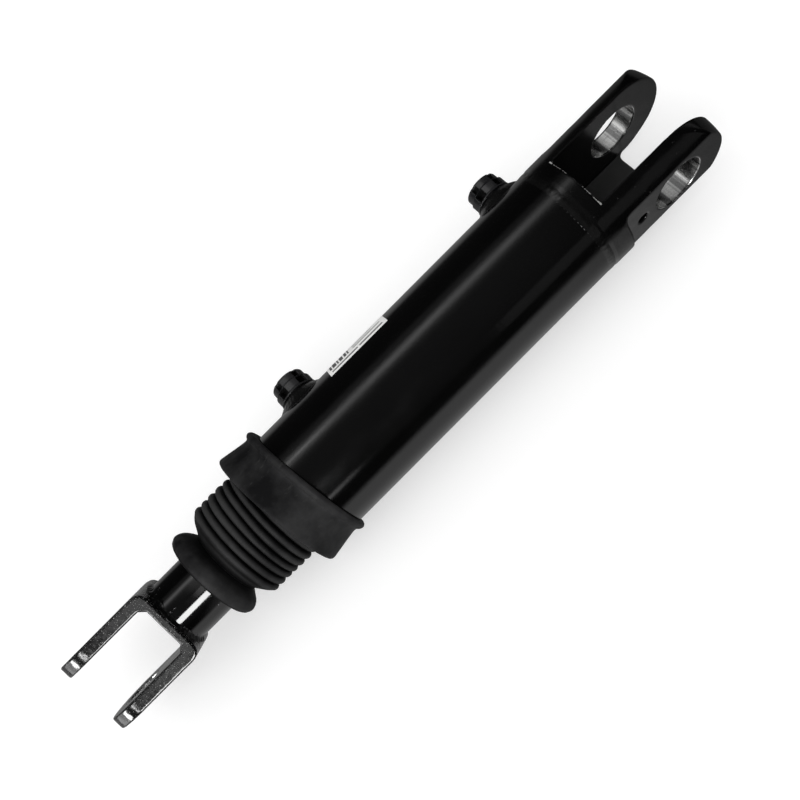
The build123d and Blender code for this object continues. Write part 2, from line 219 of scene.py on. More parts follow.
def skinned(name, field, low, high, cell):
    """The closed surface where field(x, y, z) is zero, as even quads drawn onto it."""
    axes = [np.arange(l - 2 * cell, h + 3 * cell, cell) for l, h in zip(low, high)]
    grid = field(*np.meshgrid(*axes, indexing="ij"))
    inside = grid < 0
    corners = [(i, j, k) for i in (0, 1) for j in (0, 1) for k in (0, 1)]

    def corner_of_cells(values, corner):
        return values[tuple(slice(c, n - 1 + c) for c, n in zip(corner, values.shape))]

    filled = sum(corner_of_cells(inside, c).astype(int) for c in corners)
    active = (filled > 0) & (filled < 8)
    place = np.argwhere(active)
    total = np.zeros((len(place), 3))
    count = np.zeros(len(place))
    for a in corners:
        for b in corners:
            step = np.subtract(b, a)
            if step.sum() != 1 or step.min() < 0:
                continue
            at_a = corner_of_cells(grid, a)[active]
            at_b = corner_of_cells(grid, b)[active]
            cross = (at_a < 0) != (at_b < 0)
            t = np.where(cross, at_a / np.where(cross, at_a - at_b, 1), 0)
            total += (np.array(a) + t[:, None] * step) * cross[:, None]
            count += cross
    origin = np.array([axis[0] for axis in axes])
    verts = origin + cell * (place + total / count[:, None])
    verts = drawn_onto(field, verts, cell)

    number = np.full(active.shape, -1)
    number[active] = np.arange(len(place))
    quads = []
    for axis in range(3):
        u, v = np.roll(np.eye(3, dtype=int), -axis, axis=0)[1:]
        forward = np.eye(3, dtype=int)[axis]
        here = inside[tuple(slice(0, -1) if d == axis else slice(1, -1) for d in range(3))]
        there = inside[tuple(slice(1, None) if d == axis else slice(1, -1) for d in range(3))]
        cross = np.argwhere(here != there) + 1 - forward
        ring = [cross - u - v, cross - v, cross, cross - u]
        quads.append(np.stack([number[tuple(r.T)] for r in ring], axis=-1))
    return new_object(name, verts, np.vstack(quads).tolist())


def drawn_onto(field, points, cell):
    """Moves points onto the surface, by less than half a cell each time."""
    tiny = 0.02
    for _ in range(3):
        value = field(*points.T)
        slope = np.stack([
            (field(*(points + step).T) - field(*(points - step).T)) / (2 * tiny) for step in np.eye(3) * tiny
        ], axis=-1)
        steep = np.maximum((slope ** 2).sum(axis=1), 0.25)
        shift = np.clip(value / steep, -0.45 * cell, 0.45 * cell)
        points = points - shift[:, None] * slope
    return points


lattice = np.random.default_rng(7).random((24, 24, 24)) * 2 - 1


def rough(x, y, z, size):
    """Smooth noise from about -1 to 1, with lumps of the given size."""
    cell, part = [], []
    for c in (x, y, z):
        whole = np.floor(c / size)
        t = c / size - whole
        cell.append(whole.astype(int))
        part.append(t * t * (3 - 2 * t))
    value = 0
    for i in (0, 1):
        for j in (0, 1):
            for k in (0, 1):
                weight = 1
                for t, side in zip(part, (i, j, k)):
                    weight = weight * (t if side else 1 - t)
                value = value + weight * lattice[(cell[0] + i) % 24, (cell[1] + j) % 24, (cell[2] + k) % 24]
    return value


def finished(obj, body, slot, materials, *replaced):
    """Gives a piece its materials and body, and hides the CAD nodes that it stands for. Its slot is not used.
    """
    for material in materials:
        obj.data.materials.append(material)
    if body:
        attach(obj, body)
    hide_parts(*replaced)


# ---- materials ----
class Nodes:
    """A material's node tree, with short calls for the nodes used here."""

    def __init__(self, name, colour, roughness, metallic=0.0, **extra):
        self.material = bpy.data.materials.new(name)
        self.material.use_nodes = True
        self.tree = self.material.node_tree
        self.shader = self.tree.nodes["Principled BSDF"]
        self.put("Base Color", (*colour, 1.0))
        self.put("Roughness", roughness)
        self.put("Metallic", metallic)
        for socket, value in extra.items():
            self.put(socket.replace("_", " "), value)

    def join(self, value, socket):
        """Links an output, or sets a plain value, colour triples included."""
        if hasattr(value, "is_output"):
            self.tree.links.new(value, socket)
        elif socket.type == "RGBA" and len(value) == 3:
            socket.default_value = (*value, 1.0)
        else:
            socket.default_value = value

    def put(self, name, value):
        self.join(value, self.shader.inputs[name])

    def node(self, kind, inputs, **settings):
        node = self.tree.nodes.new(kind)
        for key, value in settings.items():
            setattr(node, key, value)
        for key, value in inputs.items():
            self.join(value, node.inputs[key])
        return node

    def place(self, stretch=(1, 1, 1)):
        """A point's place on the object at rest, stretched."""
        coords = self.node("ShaderNodeTexCoord", {}).outputs["Object"]
        return self.node("ShaderNodeMapping", {"Vector": coords, "Scale": stretch}).outputs[0]

    def axes(self):
        """The same place as x, y and z in metres."""
        return self.node("ShaderNodeSeparateXYZ", {"Vector": self.place()}).outputs

    def noise(self, scale, detail=4.0, stretch=(1, 1, 1), rough=0.5):
        inputs = {"Vector": self.place(stretch), "Scale": scale, "Detail": detail, "Roughness": rough}
        return self.node("ShaderNodeTexNoise", inputs).outputs["Fac"]

    def cells(self, scale):
        return self.node("ShaderNodeTexVoronoi", {"Vector": self.place(), "Scale": scale}).outputs["Distance"]

    def math(self, kind, a, b=0.0):
        return self.node("ShaderNodeMath", {0: a, 1: b}, operation=kind).outputs[0]

    def length(self, a, b):
        """The length of a right-angled pair."""
        return self.math("SQRT", self.math("ADD", self.math("MULTIPLY", a, a), self.math("MULTIPLY", b, b)))

    def remap(self, value, low, high, to_low=0.0, to_high=1.0):
        inputs = {"Value": value, "From Min": low, "From Max": high, "To Min": to_low, "To Max": to_high}
        return self.node("ShaderNodeMapRange", inputs).outputs["Result"]

    def mix(self, factor, a, b):
        """A colour from a to b."""
        return self.node("ShaderNodeMix", {"Factor": factor, 6: a, 7: b}, data_type="RGBA").outputs[2]

    def mix_number(self, factor, a, b):
        return self.node("ShaderNodeMix", {"Factor": factor, 2: a, 3: b}, data_type="FLOAT").outputs[0]

    def bump(self, height, distance, after=None):
        """Raises the surface by height times distance, on top of an earlier bump."""
        inputs = {"Height": height, "Distance": distance, "Strength": 1.0}
        if after is not None:
            inputs["Normal"] = after
        normal = self.node("ShaderNodeBump", inputs).outputs["Normal"]
        self.put("Normal", normal)
        return normal


def enamel_look(n, gloss):
    """Sprayed black enamel's patchy colour and patchy gloss. Returns colour and roughness."""
    patches = n.noise(16.0, 5.0)
    colour = n.mix(patches, (0.0004, 0.0004, 0.0004), (0.0015, 0.0015, 0.0016))
    smears = n.noise(55.0, 6.0, (0.5, 1, 1))
    return colour, n.remap(smears, 0.3, 0.7, gloss - 0.04, gloss + 0.06)


def enamel(name="black_paint", gloss=0.13):
    n = Nodes(name, (0.008, 0.008, 0.008), gloss, Specular_IOR_Level=0.5)
    colour, roughness = enamel_look(n, gloss)
    n.put("Base Color", colour)
    n.put("Roughness", roughness)
    peel = n.bump(n.noise(330.0, 3.0), 0.00003)
    nibs = n.remap(n.cells(170.0), 0.0, 0.09, 1.0, 0.0)
    n.bump(nibs, 0.00003, peel)
    return n.material


def slot_wear(n, colour, roughness):
    """The base's slot: duller cheeks, a web coloured a lighter grey and matt, and pale specks on its end edge
    that are chipped paint and a painted highlight along that edge.
    """
    x, y, z = n.axes()
    off_middle = n.math("ABSOLUTE", y)
    in_slot = n.remap(off_middle, (slot_half + 0.3) * mm, (slot_half + 0.6) * mm, 1.0, 0.0)
    before_end = n.remap(x, (pocket_end - 0.6) * mm, (pocket_end - 0.3) * mm, 1.0, 0.0)
    in_slot = n.math("MULTIPLY", in_slot, before_end)
    roughness = n.mix_number(in_slot, roughness, 0.22)
    # The web below web_top is coloured a lighter grey and made matt.
    below = n.remap(z, (web_top + 0.3) * mm, (web_top + 0.8) * mm, 1.0, 0.0)
    lighter_web = n.math("MULTIPLY", in_slot, below)
    colour = n.mix(lighter_web, colour, n.mix(n.noise(40.0, 5.0), (0.018, 0.018, 0.018), (0.034, 0.034, 0.034)))
    roughness = n.mix_number(lighter_web, roughness, 0.8)
    # Pale specks along the slot's end edge: chipped paint, and a painted highlight along that edge.
    end_x = n.math("SUBTRACT", x, (pocket_end + 0.1) * mm)
    at_edge = n.remap(n.math("ABSOLUTE", end_x), 0.35 * mm, 0.7 * mm, 1.0, 0.0)
    outer = n.remap(n.length(y, z), (base_bar_r - 1.2) * mm, (base_bar_r - 0.8) * mm)
    near_corner = n.remap(off_middle, 8.0 * mm, 22.0 * mm, 0.56, 0.44)
    chips_and_edge_highlight = n.remap(n.math("SUBTRACT", n.noise(520.0, 4.0), near_corner), -0.02, 0.04)
    between = n.remap(off_middle, (slot_half + 0.5) * mm, (slot_half + 1.2) * mm, 1.0, 0.0)
    chips_and_edge_highlight = n.math("MULTIPLY", n.math("MULTIPLY", at_edge, outer), n.math("MULTIPLY", chips_and_edge_highlight, between))
    chips_and_edge_highlight = n.math("MULTIPLY", chips_and_edge_highlight, n.remap(z, 0.0, 1.0 * mm))
    return n.mix(chips_and_edge_highlight, colour, (0.40, 0.40, 0.39)), roughness


def bored_enamel(name, gloss, centre_x, turn, radius, bumps, slot=False):
    """The enamel, but bare machined steel inside a pin bore across X, turned about X. slot adds slot_wear."""
    n = Nodes(name, (0.008, 0.008, 0.008), gloss)
    x, y, z = n.axes()
    from_pin = n.math("SUBTRACT", x, centre_x * mm)
    across = n.math("SUBTRACT", n.math("MULTIPLY", z, math.cos(turn)), n.math("MULTIPLY", y, math.sin(turn)))
    from_axis = n.length(from_pin, across)
    bare = n.remap(from_axis, (radius + 0.25) * mm, (radius + 0.45) * mm, 1.0, 0.0)
    colour, roughness = enamel_look(n, gloss)
    # Specks of other colours; the pale ones on the fork are painted glints.
    for scale, low, high, shade in bumps["flecks_and_glints"]:
        colour = n.mix(n.remap(n.noise(scale, 3.0), low, high), colour, shade)
    if slot:
        colour, roughness = slot_wear(n, colour, roughness)
    along = n.math("ADD", n.math("MULTIPLY", y, math.cos(turn)), n.math("MULTIPLY", z, math.sin(turn)))
    ring = n.node("ShaderNodeCombineXYZ", {0: along, 1: across}).outputs[0]
    marks = n.node("ShaderNodeTexNoise", {"Vector": ring, "Scale": 1600.0, "Detail": 3.0}).outputs["Fac"]
    # Painted reflection: the bare steel's light and dark bands along the bore stand for reflected lights.
    round_bore = n.node("ShaderNodeCombineXYZ", {0: from_pin, 1: across}).outputs[0]
    broad = n.node("ShaderNodeTexNoise", {"Vector": round_bore, "Scale": 90.0, "Detail": 1.0}).outputs["Fac"]
    fine = n.node("ShaderNodeTexNoise", {"Vector": round_bore, "Scale": 500.0, "Detail": 3.0}).outputs["Fac"]
    reflection_streaks = n.math("ADD", broad, n.math("MULTIPLY", n.math("SUBTRACT", fine, 0.5), 0.25))
    steel = n.mix(n.remap(reflection_streaks, 0.40, 0.56), (0.16, 0.16, 0.16), (0.85, 0.85, 0.84))
    n.put("Base Color", n.mix(bare, colour, steel))
    n.put("Metallic", bare)
    n.put("Roughness", n.mix_number(bare, roughness, n.remap(marks, 0.3, 0.7, 0.14, 0.32)))
    normal = None
    for scale, detail, height in bumps["lumps"]:
        painted = n.mix_number(bare, n.noise(scale, detail, rough=0.6), 0.5)
        normal = n.bump(painted, height, normal)
    return n.material


def chrome_and_overspray():
    """Polished hard chrome with fine marks. The stub outside the boot was sprayed black with the rest."""
    n = Nodes("chrome_rod", (0.60, 0.60, 0.61), 0.09, 1.0)
    x, y, z = n.axes()
    ragged = n.math("MULTIPLY", n.noise(160.0, 4.0), 0.002)
    leaning = n.math("ADD", n.math("ADD", x, ragged), n.math("MULTIPLY", y, math.tan(cuff_lean)))
    painted = n.remap(leaning, (cuff_front_x - 2.4) * mm, (cuff_front_x - 2.2) * mm)
    nicks = n.remap(n.noise(1.0, 4.0, (90.0, 240.0, 240.0), 0.65), 0.70, 0.71)
    painted = n.math("MULTIPLY", painted, n.math("SUBTRACT", 1.0, nicks))
    ground = n.noise(1.0, 3.0, (4200.0, 40.0, 40.0))
    haze = n.noise(45.0, 4.0)
    bright = n.mix(haze, (0.56, 0.56, 0.57), (0.68, 0.68, 0.69))
    paint, gloss = enamel_look(n, 0.09)
    n.put("Base Color", n.mix(painted, bright, paint))
    n.put("Metallic", n.math("SUBTRACT", 1.0, painted))
    chrome_gloss = n.remap(n.math("ADD", ground, haze), 0.7, 1.3, 0.06, 0.15)
    n.put("Roughness", n.mix_number(painted, chrome_gloss, gloss))
    lines = n.bump(ground, 0.0000015)
    scratches = n.remap(n.noise(1.0, 2.0, (26.0, 1500.0, 1500.0)), 0.70, 0.74)
    n.bump(scratches, 0.000004, lines)
    return n.material


def turned_steel():
    """Machined steel with tool marks round the X axis."""
    n = Nodes("machined_steel", (0.46, 0.46, 0.47), 0.28, 1.0)
    marks = n.noise(1.0, 3.0, (2600.0, 18.0, 18.0))
    n.put("Roughness", n.remap(marks, 0.3, 0.7, 0.2, 0.4))
    n.put("Base Color", n.mix(n.noise(70.0), (0.36, 0.36, 0.37), (0.54, 0.54, 0.55)))
    n.bump(marks, 0.00001)
    return n.material


def moulded(name, dark, light, roughness, grain_scale, grain):
    """Rubber, resin or plastic: mottled, with a fine moulded grain."""
    n = Nodes(name, dark, roughness)
    cloud = n.math("ADD", n.noise(26.0, 6.0, rough=0.6), n.math("MULTIPLY", n.noise(150.0, 4.0), 0.4))
    n.put("Base Color", n.mix(n.remap(cloud, 0.5, 0.9), dark, light))
    n.put("Roughness", n.remap(n.noise(90.0, 5.0), 0.3, 0.7, roughness - 0.07, roughness + 0.08))
    n.bump(n.noise(grain_scale, 3.0), grain)
    return n.material


def plug_resin():
    """Glossy black moulding, coloured near black and matt down in its pockets as painted shade."""
    n = Nodes("plug_plastic", (0.012, 0.012, 0.013), 0.25)
    x, y, z = n.axes()
    base_side = n.math("ABSOLUTE", n.math("SUBTRACT", x, port_x["base"] * mm))
    rod_side = n.math("ABSOLUTE", n.math("SUBTRACT", x, port_x["rod"] * mm))
    from_axis = n.length(n.math("MINIMUM", base_side, rod_side), z)
    up = n.math("SUBTRACT", n.math("MULTIPLY", y, -1.0), boss_top * mm)
    inside = n.remap(from_axis, (plug_cap_r - 1.2) * mm, (plug_cap_r - 0.7) * mm, 1.0, 0.0)
    below_top = n.remap(up, (plug_top - 2.2) * mm, (plug_top - 1.8) * mm, 1.0, 0.0)
    # hollow: the pockets, coloured near black as painted shade, and made matt.
    hollow = n.math("MULTIPLY", inside, below_top)
    cloud = n.math("ADD", n.noise(60.0, 5.0), n.math("MULTIPLY", n.noise(260.0, 4.0), 0.4))
    resin = n.mix(n.remap(cloud, 0.5, 0.9), (0.007, 0.007, 0.008), (0.018, 0.018, 0.019))
    n.put("Base Color", n.mix(hollow, resin, (0.001, 0.001, 0.001)))
    n.put("Roughness", n.mix_number(hollow, n.remap(cloud, 0.5, 0.9, 0.16, 0.30), 0.95))
    n.bump(n.noise(900.0, 3.0), 0.00003)
    return n.material


def boot_rubber():
    """Matt rubber, mottled chalky grey with scuffs, with a painted highlight on the ridge crests, painted
    light that is lighter towards +Y, and painted shade in the folds, at the neck and on the lip.
    """
    n = Nodes("boot_rubber", (0.02, 0.02, 0.02), 0.55, Specular_IOR_Level=0.06)
    x, y, z = n.axes()
    from_axis = n.length(n.math("ADD", y, boot_offset * mm), z)
    bloom_and_painted_light = n.math("ADD", n.noise(22.0, 6.0, rough=0.6), n.math("MULTIPLY", n.noise(110.0, 5.0), 0.35))
    # Painted light: the rubber is lighter towards +Y and darker towards -Y.
    bloom_and_painted_light = n.math("ADD", bloom_and_painted_light, n.remap(y, -50 * mm, 40 * mm, -0.16, 0.10))
    colour = n.mix(n.remap(bloom_and_painted_light, 0.50, 0.86), (0.006, 0.006, 0.0065), (0.032, 0.032, 0.0325))
    # Painted highlight: the ridge crests are coloured lighter.
    crests = n.remap(from_axis, (ridge_r - 1.2) * mm, (ridge_r - 0.2) * mm, 0.0, 0.55)
    below_collar = n.remap(from_axis, (ridge_r + 1.0) * mm, (ridge_r + 2.5) * mm, 1.0, 0.0)
    crests = n.math("MULTIPLY", crests, below_collar)
    on_ridges = n.remap(x, (bellows_end - 9.0) * mm, (bellows_end - 8.0) * mm, 1.0, 0.0)
    colour = n.mix(n.math("MULTIPLY", crests, on_ridges), colour, (0.046, 0.046, 0.046))
    scuffs = n.remap(n.noise(1.0, 3.0, (90.0, 260.0, 30.0), 0.6), 0.62, 0.72, 0.0, 0.7)
    colour = n.mix(scuffs, colour, (0.034, 0.034, 0.0335))
    # Painted shade: near black in the folds, at the neck between cone and bulb, and on the cuff's front lip.
    folds = n.remap(from_axis, (ridge_r - 3.2) * mm, (ridge_r - 1.0) * mm, 1.0, 0.0)
    past_neck = n.remap(x, (bellows_end - 8.0) * mm, (bellows_end - 5.0) * mm, 1.0, 0.0)
    leaning = n.math("ADD", x, n.math("MULTIPLY", y, math.tan(cuff_lean)))
    lip = n.remap(leaning, (cuff_crease_x - 0.6) * mm, (cuff_crease_x + 0.4) * mm)
    neck = n.math("ABSOLUTE", n.math("SUBTRACT", leaning, bellows_end * mm))
    neck = n.remap(neck, 2.0 * mm, 7.0 * mm, 0.85, 0.0)
    painted_shade = n.math("MAXIMUM", n.math("MAXIMUM", n.math("MULTIPLY", folds, past_neck), lip), neck)
    n.put("Base Color", n.mix(painted_shade, colour, (0.002, 0.002, 0.002)))
    n.put("Roughness", n.remap(n.noise(80.0, 5.0), 0.3, 0.7, 0.48, 0.64))
    grain = n.bump(n.noise(1100.0, 4.0), 0.00005)
    n.bump(n.noise(70.0, 4.0), 0.0002, grain)
    return n.material


def weld_paint():
    """Enamel over a weld: glossier, with spatter."""
    n = Nodes("weld_paint", (0.008, 0.008, 0.008), 0.16)
    n.put("Base Color", n.mix(n.noise(60.0), (0.0012, 0.0012, 0.0012), (0.004, 0.004, 0.004)))
    n.put("Roughness", n.remap(n.noise(150.0), 0.3, 0.7, 0.12, 0.28))
    soft = n.bump(n.noise(210.0, 4.0), 0.00012)
    n.bump(n.remap(n.cells(420.0), 0.0, 0.12, 1.0, 0.0), 0.00006, soft)
    return n.material


def label_ink():
    """Grey print: mottled a little, as a printed film is."""
    n = Nodes("label_ink", (0.16, 0.16, 0.16), 0.4)
    n.put("Base Color", n.mix(n.noise(900.0), (0.03, 0.03, 0.03), (0.10, 0.10, 0.10)))
    n.bump(n.noise(1500.0), 0.000005)
    return n.material


black_paint = enamel()
base_paint = bored_enamel("black_paint_and_bore", 0.15, 0.0, 0.0, base_bore_r, {
    "flecks_and_glints": [(520.0, 0.70, 0.76, (0.03, 0.03, 0.03))],
    "lumps": [(300.0, 3.0, 0.00004), (90.0, 4.0, 0.00012)],
}, slot=True)
# The fork's pale (0.40) specks are painted glints.
fork_paint = bored_enamel("rough_black_paint", 0.15, fork_pin_x, fork_turn, fork_bore_r, {
    "flecks_and_glints": [(900.0, 0.62, 0.68, (0.05, 0.05, 0.05)), (1300.0, 0.65, 0.69, (0.40, 0.40, 0.39))],
    "lumps": [(260.0, 4.0, 0.00005), (900.0, 3.0, 0.00002)],
})
bead_paint = weld_paint()
rod_chrome = chrome_and_overspray()
steel = turned_steel()
rubber = boot_rubber()
plug_plastic = plug_resin()
nitrile = moulded("nitrile", (0.010, 0.010, 0.010), (0.018, 0.018, 0.018), 0.40, 2000.0, 0.00001)
polyurethane = moulded("seal_polyurethane", (0.05, 0.13, 0.26), (0.07, 0.17, 0.32), 0.32, 1500.0, 0.00001)
guide_resin = moulded("guide_resin", (0.24, 0.09, 0.05), (0.34, 0.14, 0.08), 0.50, 2600.0, 0.00003)
ptfe = moulded("ptfe", (0.78, 0.78, 0.76), (0.88, 0.88, 0.86), 0.38, 1200.0, 0.00001)
label_film = moulded("label_film", (0.82, 0.82, 0.81), (0.90, 0.90, 0.89), 0.35, 800.0, 0.00001)
ink = label_ink()

# every CAD node, shown or hidden, gets its slot's material
slot_materials = {
    "black_paint": black_paint, "rough_black_paint": fork_paint, "chrome_rod": rod_chrome,
    "machined_steel": steel, "boot_rubber": rubber, "plug_plastic": plug_plastic, "nitrile": nitrile,
    "seal_polyurethane": polyurethane, "guide_resin": guide_resin, "ptfe": ptfe, "label_film": label_film,
}
for subpart in frame["record"]["subparts"]:
    node = frame["nodes"][subpart["node"]]
    node.data.materials.clear()
    node.data.materials.append(slot_materials[subpart["material_slot"]])


# ---- base end ----
def base_clevis_field(x, y, z):
    shoulder = 0.5 * np.clip((x - 66) / 2, 0, 1)
    bar = np.hypot(y, z) - base_bar_r + shoulder
    tip = np.hypot(np.minimum(x, 0), z) - base_tip_r - np.maximum(x, 0)
    eased = 0.92 * tip + 0.39 * bar + 3.7
    body = both(both(tip, eased, 5.0), bar, 1.2)
    side = np.abs(y) - slot_half
    pocket = both(both(side, x - pocket_end, 3.5), web_top - z, 2.5)
    body = without(body, either(pocket, both(side, x - web_end, 6.5), 0.6), 1.0)
    flat_half = math.sqrt(base_bar_r ** 2 - base_half_width ** 2)
    flat = both(base_half_width - np.abs(y), both(x - flat_end, np.abs(z) - flat_half, 7.2), 0.5)
    body = without(body, flat, 0.6)
    body = without(body, np.hypot(x, z) - base_bore_r, 0.7)
    mouth = np.clip(y - base_half_width + 0.75, 0, 2)
    keeper = both(np.hypot(x - keeper_x, z) - keeper_r - mouth, -y)
    body = without(body, keeper, 0.3)
    spigot = both(np.hypot(y, z) - spigot_r, np.abs(x - barrel_start) - (spigot_end - barrel_start))
    body = either(both(body, x - barrel_start, 0.6), spigot, 0.3)
    outside = np.hypot(x, z) - base_bore_r
    return body - 0.07 * rough(x, y, z, 9.0) * np.clip(outside - 1, 0, 1)


def make_base_clevis():
    reach = base_bar_r + 1
    low, high = (-reach, -reach, -reach), (spigot_end, reach, reach)
    obj = skinned("base_clevis_body", base_clevis_field, low, high, 0.9)
    finished(obj, "barrel", "black_paint", [base_paint], "base_clevis")


def make_base_weld():
    """A dressed girth weld: a faint crown with shallow ripples."""
    half = 4.0
    sink = 1.5
    outline = [(half * t, 0.22 * (1 - t * t) ** 2) for t in np.linspace(-1, 1, 17)]
    outline += [(half, -sink), (-half, -sink)]

    def ripple(along, lift, angle):
        proud = np.clip(lift, 0, 1)
        drift = 0.6 * rough(40 * np.cos(angle), 40 * np.sin(angle), 0 * along, 17.0)
        beat = np.cos(64 * angle - 0.22 * along ** 2)
        wave = 1 + 0.18 * beat + 0.5 * rough(barrel_r * np.cos(angle), barrel_r * np.sin(angle), along, 3.0)
        r = barrel_r + np.where(lift > 0, proud * wave, lift)
        return barrel_start + along + drift, r * np.cos(angle), r * np.sin(angle)

    obj = turned("base_weld_bead", outline, 512, ripple)
    finished(obj, "barrel", "black_paint", [bead_paint], "base_weld")


# ---- ports ----
def make_port_weld(end):
    """A ropy fillet between boss and barrel, lying on the barrel's curve."""
    foot = boss_r + 8.5
    toe_up = boss_top - 1.0
    steps = np.linspace(0, 1, 9)
    segments = 144
    angle = np.linspace(0, 2 * math.pi, segments, endpoint=False)[:, None]

    def barrel_top(z):
        return np.sqrt(barrel_r ** 2 - np.clip(z, -barrel_r, barrel_r) ** 2)

    seed = port_x[end]
    spread = foot + 0.7 * rough(9 * np.cos(angle), 9 * np.sin(angle), seed + 0 * angle, 4.0)
    r = spread + (boss_r + 0.15 - spread) * steps
    low = barrel_top(r * np.cos(angle)) - 0.3
    hollow = 0.75 * steps + 0.25 * steps ** 2
    y = low + (toe_up - low) * hollow
    ripple = np.sin(math.pi * steps) * (0.12 * np.cos(38 * angle + 1.5 * steps) +
                                        0.35 * rough(r * np.cos(angle), r * np.sin(angle), seed + y, 3.0))
    y = y + ripple
    inner_r = np.full((segments, 2), boss_r - 0.4)
    inner_top = np.full((segments, 1), toe_up - 0.2)
    inner_low = barrel_top(inner_r[:, 1:] * np.cos(angle)) - 0.8
    outer_low = barrel_top(r[:, :1] * np.cos(angle)) - 0.9
    r = np.hstack([r, inner_r, r[:, :1]])
    y = np.hstack([y, inner_top, inner_low, outer_low])
    verts = np.stack([port_x[end] + r * np.sin(angle), -y, r * np.cos(angle)], axis=-1).reshape(-1, 3)
    obj = new_object(f"{end}_port_weld_bead", verts, wrapped_faces(segments, y.shape[1]))
    finished(obj, "barrel", "black_paint", [bead_paint], f"{end}_port_weld")


def make_boss(end):
    """The threaded boss: broken edges, a thread in its bore and a foot that follows the barrel."""
    def field(x, y, z):
        dx = x - port_x[end]
        r = np.hypot(dx, z)
        up = -y
        turn = np.arctan2(dx, z) / (2 * math.pi)
        thread = 0.42 * np.cos(2 * math.pi * (up / port_pitch + turn)) * np.clip(up - 43.5, 0, 1)
        bore = r - boss_bore_r - thread - np.clip(up - boss_top + 1.0, 0, 2)
        shell = both(both(r - boss_r, up - boss_top, 0.8), barrel_r - 0.4 - np.hypot(y, z), 0.3)
        return without(shell, bore, 0.3)

    low = (port_x[end] - boss_r, -boss_top, -boss_r)
    high = (port_x[end] + boss_r, -barrel_r + 4.5, boss_r)
    obj = skinned(f"{end}_port_boss_body", field, low, high, 0.4)
    finished(obj, "barrel", "black_paint", [black_paint], f"{end}_port_boss")


def make_plug(end, turn_deg):
    """A moulded thread protector: shank, flange, band with deep pockets, and a slotted cap."""
    pocket_count = 5
    sector = 2 * math.pi / pocket_count

    def field(x, y, z):
        dx = x - port_x[end]
        r = np.hypot(dx, z)
        up = -y - boss_top
        angle = np.arctan2(dx, z)
        off = (angle - math.radians(turn_deg) + sector / 2) % sector - sector / 2
        side = np.abs(off) * r
        turn = angle / (2 * math.pi)
        thread = 0.3 * np.cos(2 * math.pi * (up / port_pitch + turn)) * np.clip(-up - 1, 0, 1)
        shank = both(both(r - plug_shank_r + 0.3 + thread, up - 0.5), -up - plug_shank_len)
        flange = both(r - plug_flange_r, np.abs(up - 0.7) - 0.7, 0.6)
        band = both(r - plug_flange_r + 0.4, np.abs(up - 4.4) - 3.9, 0.6)
        dome = 0.004 * r ** 2
        cap = both(both(r - plug_cap_r + 0.03 * np.maximum(up - 6, 0), up - plug_top + dome, 1.0), 1.0 - up)
        pocket = both(both(side - 3.8, 8.6 - r, 0.5), np.abs(up - 4.8) - 3.2, 0.5)
        slit = both(both(side - 2.4, 9.4 - r, 0.5), np.abs(up - 11.2) - 2.2, 0.5)
        nick = both(both(side - 1.2, 12.2 - r, 0.4), 12.0 - up, 0.4)
        head = without(either(either(flange, band, 0.4), cap, 0.9), pocket, 0.6)
        head = without(without(head, slit, 0.5), nick, 0.4)
        hub = np.hypot(r - 3.4, up - plug_top + 0.1) - 0.35
        return either(without(head, hub, 0.3), shank, 0.3)

    reach = plug_flange_r + 0.7
    low = (port_x[end] - reach, -boss_top - plug_top - 0.5, -reach)
    high = (port_x[end] + reach, -boss_top + plug_shank_len, reach)
    obj = skinned(f"{end}_plug_moulding", field, low, high, 0.38)
    finished(obj, f"{end}_plug", "plug_plastic", [plug_plastic], f"{end}_port_plug")


# ---- label ----
def label_print(along, across):
    """Where the label is printed: generic bars, none of them lettering. Both run from 0 to 1."""
    heavy = [(0.04, 0.07), (0.09, 0.15), (0.17, 0.19), (0.21, 0.27), (0.29, 0.33), (0.345, 0.37)]
    bars = [(start, end, 0.28, 0.76) for start, end in heavy]
    bars += [(0.44, end, row, row + 0.045) for end, row in ((0.86, 0.38), (0.78, 0.53), (0.92, 0.68))]
    bars += [(0.05, 0.50, 0.86, 0.91), (0.53, 0.94, 0.86, 0.91)]
    printed = np.zeros(np.broadcast(along, across).shape, bool)
    for start, end, low, high in bars:
        printed |= (along > start) & (along < end) & (across > low) & (across < high)
    return printed


